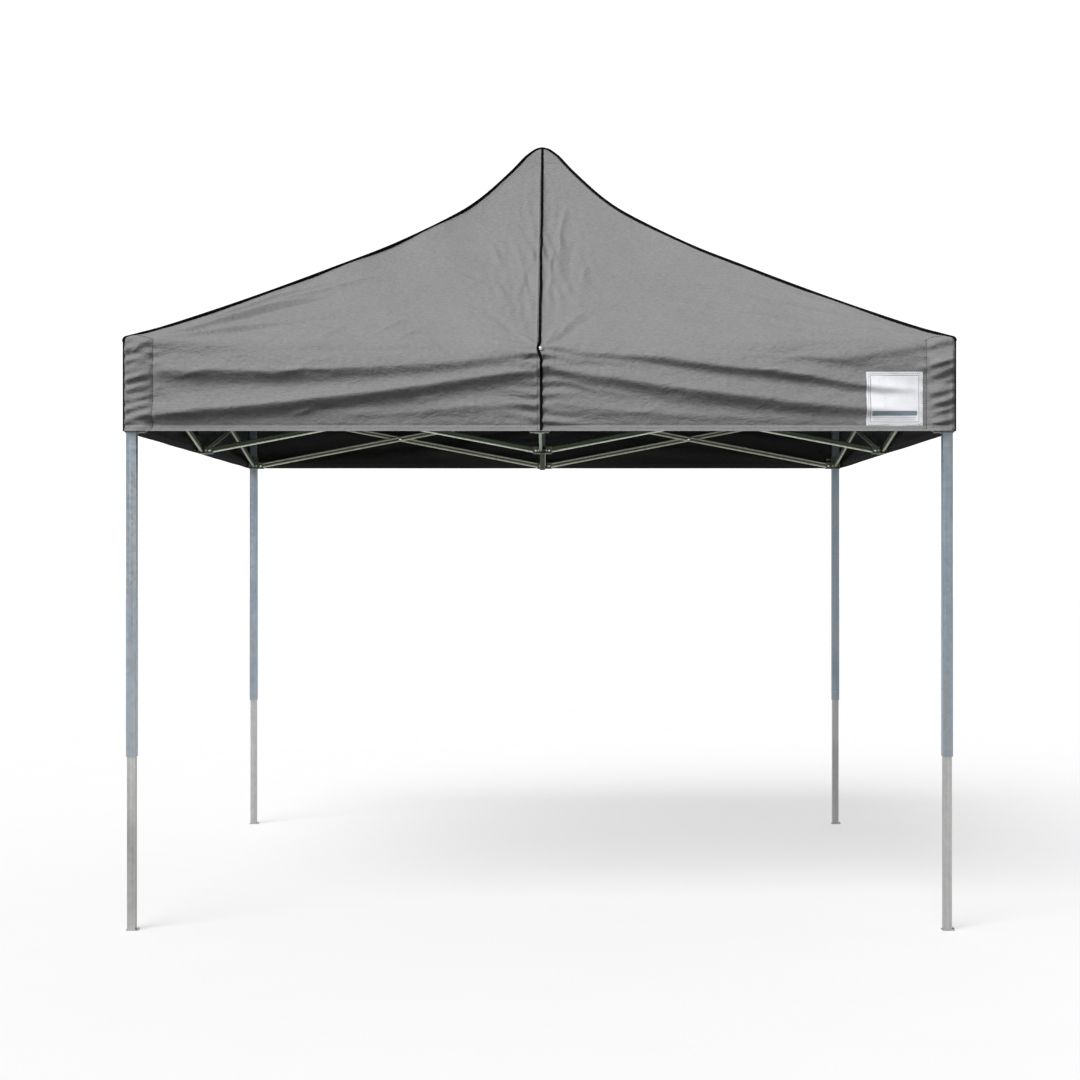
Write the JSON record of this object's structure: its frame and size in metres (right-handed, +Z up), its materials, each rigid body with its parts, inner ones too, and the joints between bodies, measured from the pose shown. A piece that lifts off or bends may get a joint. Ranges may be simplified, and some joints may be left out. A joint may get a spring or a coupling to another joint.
{
  "type": "pop-up canopy tent",
  "caption": "Square pop-up canopy on telescoping legs, with an accordion frame of crossing bars, a centre pole and a peaked cloth roof with a straight valance.",
  "frame": {"origin": "on the ground, straight below the pole, in the middle of the four feet", "axes": "+Z up, -Y to the front, +X to the right as seen from the front"},
  "size_m": [2.994, 2.994, 3.1174],
  "materials": {
    "leg_steel": "dull zinc-plated tube",
    "inner_leg_steel": "duller zinc-plated tube, rubbed where it slides",
    "bar_steel": "dull zinc-plated tube",
    "pole_steel": "satin",
    "bright_steel": "bright",
    "bracket_steel": "zinc-plated pressed steel",
    "cap_plastic": "moulded black nylon",
    "canopy_cloth": "coated grey polyester, near black inside"
  },
  "bodies": {
    "upper_hub": {"upper_hub": "bracket_steel"},
    "cross_bar_rising_front": {"cross_bar_rising_front": "bar_steel"},
    "cross_bar_falling_front": {"cross_bar_falling_front": "bar_steel"},
    "upper_bracket_front": {"upper_bracket_front": "bracket_steel"},
    "lower_bracket_front": {"lower_bracket_front": "bracket_steel"},
    "pole": {"lower_hub": "bracket_steel", "centre_pole": "pole_steel"},
    "pole_top": {"pole_cap": "cap_plastic"},
    "slide_bar_front_to_front_left": {"slide_bar_front_to_front_left": "bar_steel"},
    "top_bar_front_to_front_left": {"top_bar_front_to_front_left": "bar_steel"},
    "leg_front_left": {"outer_leg_front_left": "leg_steel", "corner_bracket_front_left": "bracket_steel"},
    "slider_front_left": {"slider_front_left": "bracket_steel"},
    "slide_bar_front_to_front_right": {"slide_bar_front_to_front_right": "bar_steel"},
    "top_bar_front_to_front_right": {"top_bar_front_to_front_right": "bar_steel"},
    "leg_front_right": {"outer_leg_front_right": "leg_steel", "corner_bracket_front_right": "bracket_steel"},
    "slider_front_right": {"slider_front_right": "bracket_steel"},
    "canopy_front": {"canopy_front": "canopy_cloth"},
    "cross_bar_rising_right": {"cross_bar_rising_right": "bar_steel"},
    "cross_bar_falling_right": {"cross_bar_falling_right": "bar_steel"},
    "upper_bracket_right": {"upper_bracket_right": "bracket_steel"},
    "lower_bracket_right": {"lower_bracket_right": "bracket_steel"},
    "slide_bar_right_to_front_right": {"slide_bar_right_to_front_right": "bar_steel"},
    "top_bar_right_to_front_right": {"top_bar_right_to_front_right": "bar_steel"},
    "slide_bar_right_to_rear_right": {"slide_bar_right_to_rear_right": "bar_steel"},
    "top_bar_right_to_rear_right": {"top_bar_right_to_rear_right": "bar_steel"},
    "canopy_right": {"canopy_right": "canopy_cloth"},
    "cross_bar_rising_rear": {"cross_bar_rising_rear": "bar_steel"},
    "cross_bar_falling_rear": {"cross_bar_falling_rear": "bar_steel"},
    "upper_bracket_rear": {"upper_bracket_rear": "bracket_steel"},
    "lower_bracket_rear": {"lower_bracket_rear": "bracket_steel"},
    "slide_bar_rear_to_rear_right": {"slide_bar_rear_to_rear_right": "bar_steel"},
    "top_bar_rear_to_rear_right": {"top_bar_rear_to_rear_right": "bar_steel"},
    "leg_rear_right": {"outer_leg_rear_right": "leg_steel", "corner_bracket_rear_right": "bracket_steel"},
    "slider_rear_right": {"slider_rear_right": "bracket_steel"},
    "slide_bar_rear_to_rear_left": {"slide_bar_rear_to_rear_left": "bar_steel"},
    "top_bar_rear_to_rear_left": {"top_bar_rear_to_rear_left": "bar_steel"},
    "leg_rear_left": {"outer_leg_rear_left": "leg_steel", "corner_bracket_rear_left": "bracket_steel"},
    "slider_rear_left": {"slider_rear_left": "bracket_steel"},
    "canopy_rear": {"canopy_rear": "canopy_cloth"},
    "cross_bar_rising_left": {"cross_bar_rising_left": "bar_steel"},
    "cross_bar_falling_left": {"cross_bar_falling_left": "bar_steel"},
    "upper_bracket_left": {"upper_bracket_left": "bracket_steel"},
    "lower_bracket_left": {"lower_bracket_left": "bracket_steel"},
    "slide_bar_left_to_rear_left": {"slide_bar_left_to_rear_left": "bar_steel"},
    "top_bar_left_to_rear_left": {"top_bar_left_to_rear_left": "bar_steel"},
    "slide_bar_left_to_front_left": {"slide_bar_left_to_front_left": "bar_steel"},
    "top_bar_left_to_front_left": {"top_bar_left_to_front_left": "bar_steel"},
    "canopy_left": {"canopy_left": "canopy_cloth"},
    "inner_leg_front_left": {"inner_leg_front_left": "inner_leg_steel"},
    "lock_pin_front_left": {"lock_pin_front_left": "bright_steel"},
    "inner_leg_front_right": {"inner_leg_front_right": "inner_leg_steel"},
    "lock_pin_front_right": {"lock_pin_front_right": "bright_steel"},
    "inner_leg_rear_right": {"inner_leg_rear_right": "inner_leg_steel"},
    "lock_pin_rear_right": {"lock_pin_rear_right": "bright_steel"},
    "inner_leg_rear_left": {"inner_leg_rear_left": "inner_leg_steel"},
    "lock_pin_rear_left": {"lock_pin_rear_left": "bright_steel"}
  },
  "joints": [
    {"name": "fold", "type": "hinge", "parent": "upper_hub", "child": "cross_bar_rising_front", "pos_m": [0, -0.028, 2.082], "axis": [1, 0, 0], "range_deg": [0, 75.4]},
    {"name": "cross_bar_falling_front_crossing", "type": "hinge", "parent": "cross_bar_rising_front", "child": "cross_bar_falling_front", "pos_m": [0, -0.735, 1.947], "axis": [1, 0, 0], "range_deg": [-150.9, 0]},
    {"name": "upper_bracket_front_inner_pin", "type": "hinge", "parent": "cross_bar_falling_front", "child": "upper_bracket_front", "pos_m": [0, -1.442, 2.082], "axis": [1, 0, 0], "range_deg": [0, 75.5]},
    {"name": "lower_bracket_front_inner_pin", "type": "hinge", "parent": "cross_bar_rising_front", "child": "lower_bracket_front", "pos_m": [0, -1.442, 1.812], "axis": [1, 0, 0], "range_deg": [-75.5, 0]},
    {"name": "lower_hub_pin", "type": "hinge", "parent": "cross_bar_falling_front", "child": "pole", "pos_m": [0, -0.028, 1.812], "axis": [1, 0, 0], "range_deg": [0, 75.5]},
    {"name": "pole_top_slide", "type": "slide", "parent": "pole", "child": "pole_top", "axis": [0, 0, 1], "range_m": [0, 0.2125]},
    {"name": "slide_bar_front_to_front_left_pin", "type": "hinge", "parent": "upper_bracket_front", "child": "slide_bar_front_to_front_left", "pos_m": [-0.022, -1.472, 2.082], "axis": [0, -1, 0], "range_deg": [0, 75.5]},
    {"name": "top_bar_front_to_front_left_crossing", "type": "hinge", "parent": "slide_bar_front_to_front_left", "child": "top_bar_front_to_front_left", "pos_m": [-0.729, -1.472, 1.947], "axis": [0, -1, 0], "range_deg": [-150.9, 0]},
    {"name": "leg_front_left_top_pin", "type": "hinge", "parent": "top_bar_front_to_front_left", "child": "leg_front_left", "pos_m": [-1.436, -1.472, 2.082], "axis": [0, -1, 0], "range_deg": [0, 75.5]},
    {"name": "slider_front_left_pin", "type": "hinge", "parent": "slide_bar_front_to_front_left", "child": "slider_front_left", "pos_m": [-1.436, -1.472, 1.812], "axis": [0, -1, 0], "range_deg": [-75.5, 0]},
    {"name": "slide_bar_front_to_front_right_pin", "type": "hinge", "parent": "upper_bracket_front", "child": "slide_bar_front_to_front_right", "pos_m": [0.022, -1.472, 2.082], "axis": [0, 1, 0], "range_deg": [0, 75.5]},
    {"name": "top_bar_front_to_front_right_crossing", "type": "hinge", "parent": "slide_bar_front_to_front_right", "child": "top_bar_front_to_front_right", "pos_m": [0.729, -1.472, 1.947], "axis": [0, 1, 0], "range_deg": [-150.9, 0]},
    {"name": "leg_front_right_top_pin", "type": "hinge", "parent": "top_bar_front_to_front_right", "child": "leg_front_right", "pos_m": [1.436, -1.472, 2.082], "axis": [0, 1, 0], "range_deg": [0, 75.5]},
    {"name": "slider_front_right_pin", "type": "hinge", "parent": "slide_bar_front_to_front_right", "child": "slider_front_right", "pos_m": [1.436, -1.472, 1.812], "axis": [0, 1, 0], "range_deg": [-75.5, 0]},
    {"name": "canopy_front_fold", "type": "hinge", "parent": "upper_bracket_front", "child": "canopy_front", "pos_m": [0, -1.442, 2.082], "axis": [-1, 0, 0], "range_deg": [0, 121.8], "deforming": ["canopy_front"]},
    {"name": "cross_bar_rising_right_at_hub", "type": "hinge", "parent": "upper_hub", "child": "cross_bar_rising_right", "pos_m": [0.028, 0, 2.082], "axis": [0, 1, 0], "range_deg": [0, 75.5]},
    {"name": "cross_bar_falling_right_crossing", "type": "hinge", "parent": "cross_bar_rising_right", "child": "cross_bar_falling_right", "pos_m": [0.735, 0, 1.947], "axis": [0, 1, 0], "range_deg": [-150.9, 0]},
    {"name": "upper_bracket_right_inner_pin", "type": "hinge", "parent": "cross_bar_falling_right", "child": "upper_bracket_right", "pos_m": [1.442, 0, 2.082], "axis": [0, 1, 0], "range_deg": [0, 75.5]},
    {"name": "lower_bracket_right_inner_pin", "type": "hinge", "parent": "cross_bar_rising_right", "child": "lower_bracket_right", "pos_m": [1.442, 0, 1.812], "axis": [0, 1, 0], "range_deg": [-75.5, 0]},
    {"name": "slide_bar_right_to_front_right_pin", "type": "hinge", "parent": "upper_bracket_right", "child": "slide_bar_right_to_front_right", "pos_m": [1.472, -0.022, 2.082], "axis": [1, 0, 0], "range_deg": [0, 75.5]},
    {"name": "top_bar_right_to_front_right_crossing", "type": "hinge", "parent": "slide_bar_right_to_front_right", "child": "top_bar_right_to_front_right", "pos_m": [1.472, -0.729, 1.947], "axis": [1, 0, 0], "range_deg": [-150.9, 0]},
    {"name": "slide_bar_right_to_rear_right_pin", "type": "hinge", "parent": "upper_bracket_right", "child": "slide_bar_right_to_rear_right", "pos_m": [1.472, 0.022, 2.082], "axis": [-1, 0, 0], "range_deg": [0, 75.5]},
    {"name": "top_bar_right_to_rear_right_crossing", "type": "hinge", "parent": "slide_bar_right_to_rear_right", "child": "top_bar_right_to_rear_right", "pos_m": [1.472, 0.729, 1.947], "axis": [-1, 0, 0], "range_deg": [-150.9, 0]},
    {"name": "canopy_right_fold", "type": "hinge", "parent": "upper_bracket_right", "child": "canopy_right", "pos_m": [1.442, 0, 2.082], "axis": [0, -1, 0], "range_deg": [0, 121.8], "deforming": ["canopy_right"]},
    {"name": "cross_bar_rising_rear_at_hub", "type": "hinge", "parent": "upper_hub", "child": "cross_bar_rising_rear", "pos_m": [0, 0.028, 2.082], "axis": [-1, 0, 0], "range_deg": [0, 75.5]},
    {"name": "cross_bar_falling_rear_crossing", "type": "hinge", "parent": "cross_bar_rising_rear", "child": "cross_bar_falling_rear", "pos_m": [0, 0.735, 1.947], "axis": [-1, 0, 0], "range_deg": [-150.9, 0]},
    {"name": "upper_bracket_rear_inner_pin", "type": "hinge", "parent": "cross_bar_falling_rear", "child": "upper_bracket_rear", "pos_m": [0, 1.442, 2.082], "axis": [-1, 0, 0], "range_deg": [0, 75.5]},
    {"name": "lower_bracket_rear_inner_pin", "type": "hinge", "parent": "cross_bar_rising_rear", "child": "lower_bracket_rear", "pos_m": [0, 1.442, 1.812], "axis": [-1, 0, 0], "range_deg": [-75.5, 0]},
    {"name": "slide_bar_rear_to_rear_right_pin", "type": "hinge", "parent": "upper_bracket_rear", "child": "slide_bar_rear_to_rear_right", "pos_m": [0.022, 1.472, 2.082], "axis": [0, 1, 0], "range_deg": [0, 75.5]},
    {"name": "top_bar_rear_to_rear_right_crossing", "type": "hinge", "parent": "slide_bar_rear_to_rear_right", "child": "top_bar_rear_to_rear_right", "pos_m": [0.729, 1.472, 1.947], "axis": [0, 1, 0], "range_deg": [-150.9, 0]},
    {"name": "leg_rear_right_top_pin", "type": "hinge", "parent": "top_bar_rear_to_rear_right", "child": "leg_rear_right", "pos_m": [1.436, 1.472, 2.082], "axis": [0, 1, 0], "range_deg": [0, 75.5]},
    {"name": "slider_rear_right_pin", "type": "hinge", "parent": "slide_bar_rear_to_rear_right", "child": "slider_rear_right", "pos_m": [1.436, 1.472, 1.812], "axis": [0, 1, 0], "range_deg": [-75.5, 0]},
    {"name": "slide_bar_rear_to_rear_left_pin", "type": "hinge", "parent": "upper_bracket_rear", "child": "slide_bar_rear_to_rear_left", "pos_m": [-0.022, 1.472, 2.082], "axis": [0, -1, 0], "range_deg": [0, 75.5]},
    {"name": "top_bar_rear_to_rear_left_crossing", "type": "hinge", "parent": "slide_bar_rear_to_rear_left", "child": "top_bar_rear_to_rear_left", "pos_m": [-0.729, 1.472, 1.947], "axis": [0, -1, 0], "range_deg": [-150.9, 0]},
    {"name": "leg_rear_left_top_pin", "type": "hinge", "parent": "top_bar_rear_to_rear_left", "child": "leg_rear_left", "pos_m": [-1.436, 1.472, 2.082], "axis": [0, -1, 0], "range_deg": [0, 75.5]},
    {"name": "slider_rear_left_pin", "type": "hinge", "parent": "slide_bar_rear_to_rear_left", "child": "slider_rear_left", "pos_m": [-1.436, 1.472, 1.812], "axis": [0, -1, 0], "range_deg": [-75.5, 0]},
    {"name": "canopy_rear_fold", "type": "hinge", "parent": "upper_bracket_rear", "child": "canopy_rear", "pos_m": [0, 1.442, 2.082], "axis": [1, 0, 0], "range_deg": [0, 121.8], "deforming": ["canopy_rear"]},
    {"name": "cross_bar_rising_left_at_hub", "type": "hinge", "parent": "upper_hub", "child": "cross_bar_rising_left", "pos_m": [-0.028, 0, 2.082], "axis": [0, -1, 0], "range_deg": [0, 75.5]},
    {"name": "cross_bar_falling_left_crossing", "type": "hinge", "parent": "cross_bar_rising_left", "child": "cross_bar_falling_left", "pos_m": [-0.735, 0, 1.947], "axis": [0, -1, 0], "range_deg": [-150.9, 0]},
    {"name": "upper_bracket_left_inner_pin", "type": "hinge", "parent": "cross_bar_falling_left", "child": "upper_bracket_left", "pos_m": [-1.442, 0, 2.082], "axis": [0, -1, 0], "range_deg": [0, 75.5]},
    {"name": "lower_bracket_left_inner_pin", "type": "hinge", "parent": "cross_bar_rising_left", "child": "lower_bracket_left", "pos_m": [-1.442, 0, 1.812], "axis": [0, -1, 0], "range_deg": [-75.5, 0]},
    {"name": "slide_bar_left_to_rear_left_pin", "type": "hinge", "parent": "upper_bracket_left", "child": "slide_bar_left_to_rear_left", "pos_m": [-1.472, 0.022, 2.082], "axis": [-1, 0, 0], "range_deg": [0, 75.5]},
    {"name": "top_bar_left_to_rear_left_crossing", "type": "hinge", "parent": "slide_bar_left_to_rear_left", "child": "top_bar_left_to_rear_left", "pos_m": [-1.472, 0.729, 1.947], "axis": [-1, 0, 0], "range_deg": [-150.9, 0]},
    {"name": "slide_bar_left_to_front_left_pin", "type": "hinge", "parent": "upper_bracket_left", "child": "slide_bar_left_to_front_left", "pos_m": [-1.472, -0.022, 2.082], "axis": [1, 0, 0], "range_deg": [0, 75.5]},
    {"name": "top_bar_left_to_front_left_crossing", "type": "hinge", "parent": "slide_bar_left_to_front_left", "child": "top_bar_left_to_front_left", "pos_m": [-1.472, -0.729, 1.947], "axis": [1, 0, 0], "range_deg": [-150.9, 0]},
    {"name": "canopy_left_fold", "type": "hinge", "parent": "upper_bracket_left", "child": "canopy_left", "pos_m": [-1.442, 0, 2.082], "axis": [0, 1, 0], "range_deg": [0, 121.8], "deforming": ["canopy_left"]},
    {"name": "height_front_left", "type": "slide", "parent": "leg_front_left", "child": "inner_leg_front_left", "axis": [0, 0, 1], "range_m": [0, 0.45]},
    {"name": "lock_front_left", "type": "slide", "parent": "slider_front_left", "child": "lock_pin_front_left", "axis": [1, 0, 0], "range_m": [-0.006, 0.008], "stiffness_N_per_m": 150, "springref_m": -0.006},
    {"name": "height_front_right", "type": "slide", "parent": "leg_front_right", "child": "inner_leg_front_right", "axis": [0, 0, 1], "range_m": [0, 0.45]},
    {"name": "lock_front_right", "type": "slide", "parent": "slider_front_right", "child": "lock_pin_front_right", "axis": [0, 1, 0], "range_m": [-0.006, 0.008], "stiffness_N_per_m": 150, "springref_m": -0.006},
    {"name": "height_rear_right", "type": "slide", "parent": "leg_rear_right", "child": "inner_leg_rear_right", "axis": [0, 0, 1], "range_m": [0, 0.45]},
    {"name": "lock_rear_right", "type": "slide", "parent": "slider_rear_right", "child": "lock_pin_rear_right", "axis": [-1, 0, 0], "range_m": [-0.006, 0.008], "stiffness_N_per_m": 150, "springref_m": -0.006},
    {"name": "height_rear_left", "type": "slide", "parent": "leg_rear_left", "child": "inner_leg_rear_left", "axis": [0, 0, 1], "range_m": [0, 0.45]},
    {"name": "lock_rear_left", "type": "slide", "parent": "slider_rear_left", "child": "lock_pin_rear_left", "axis": [0, -1, 0], "range_m": [-0.006, 0.008], "stiffness_N_per_m": 150, "springref_m": -0.006}
  ],
  "couplings": [
    {"joint": "cross_bar_falling_front_crossing", "follows": "fold", "ratio": -2},
    {"joint": "upper_bracket_front_inner_pin", "follows": "fold", "ratio": 1},
    {"joint": "lower_bracket_front_inner_pin", "follows": "fold", "ratio": -1},
    {"joint": "lower_hub_pin", "follows": "fold", "ratio": 1},
    {"joint": "pole_top_slide", "follows": "fold", "m_per_rad": 0.1611},
    {"joint": "slide_bar_front_to_front_left_pin", "follows": "fold", "ratio": 1},
    {"joint": "top_bar_front_to_front_left_crossing", "follows": "fold", "ratio": -2},
    {"joint": "leg_front_left_top_pin", "follows": "fold", "ratio": 1},
    {"joint": "slider_front_left_pin", "follows": "fold", "ratio": -1},
    {"joint": "slide_bar_front_to_front_right_pin", "follows": "fold", "ratio": 1},
    {"joint": "top_bar_front_to_front_right_crossing", "follows": "fold", "ratio": -2},
    {"joint": "leg_front_right_top_pin", "follows": "fold", "ratio": 1},
    {"joint": "slider_front_right_pin", "follows": "fold", "ratio": -1},
    {"joint": "canopy_front_fold", "follows": "fold", "ratio": 1.615},
    {"joint": "cross_bar_rising_right_at_hub", "follows": "fold", "ratio": 1},
    {"joint": "cross_bar_falling_right_crossing", "follows": "fold", "ratio": -2},
    {"joint": "upper_bracket_right_inner_pin", "follows": "fold", "ratio": 1},
    {"joint": "lower_bracket_right_inner_pin", "follows": "fold", "ratio": -1},
    {"joint": "slide_bar_right_to_front_right_pin", "follows": "fold", "ratio": 1},
    {"joint": "top_bar_right_to_front_right_crossing", "follows": "fold", "ratio": -2},
    {"joint": "slide_bar_right_to_rear_right_pin", "follows": "fold", "ratio": 1},
    {"joint": "top_bar_right_to_rear_right_crossing", "follows": "fold", "ratio": -2},
    {"joint": "canopy_right_fold", "follows": "fold", "ratio": 1.615},
    {"joint": "cross_bar_rising_rear_at_hub", "follows": "fold", "ratio": 1},
    {"joint": "cross_bar_falling_rear_crossing", "follows": "fold", "ratio": -2},
    {"joint": "upper_bracket_rear_inner_pin", "follows": "fold", "ratio": 1},
    {"joint": "lower_bracket_rear_inner_pin", "follows": "fold", "ratio": -1},
    {"joint": "slide_bar_rear_to_rear_right_pin", "follows": "fold", "ratio": 1},
    {"joint": "top_bar_rear_to_rear_right_crossing", "follows": "fold", "ratio": -2},
    {"joint": "leg_rear_right_top_pin", "follows": "fold", "ratio": 1},
    {"joint": "slider_rear_right_pin", "follows": "fold", "ratio": -1},
    {"joint": "slide_bar_rear_to_rear_left_pin", "follows": "fold", "ratio": 1},
    {"joint": "top_bar_rear_to_rear_left_crossing", "follows": "fold", "ratio": -2},
    {"joint": "leg_rear_left_top_pin", "follows": "fold", "ratio": 1},
    {"joint": "slider_rear_left_pin", "follows": "fold", "ratio": -1},
    {"joint": "canopy_rear_fold", "follows": "fold", "ratio": 1.615},
    {"joint": "cross_bar_rising_left_at_hub", "follows": "fold", "ratio": 1},
    {"joint": "cross_bar_falling_left_crossing", "follows": "fold", "ratio": -2},
    {"joint": "upper_bracket_left_inner_pin", "follows": "fold", "ratio": 1},
    {"joint": "lower_bracket_left_inner_pin", "follows": "fold", "ratio": -1},
    {"joint": "slide_bar_left_to_rear_left_pin", "follows": "fold", "ratio": 1},
    {"joint": "top_bar_left_to_rear_left_crossing", "follows": "fold", "ratio": -2},
    {"joint": "slide_bar_left_to_front_left_pin", "follows": "fold", "ratio": 1},
    {"joint": "top_bar_left_to_front_left_crossing", "follows": "fold", "ratio": -2},
    {"joint": "canopy_left_fold", "follows": "fold", "ratio": 1.615}
  ]
}
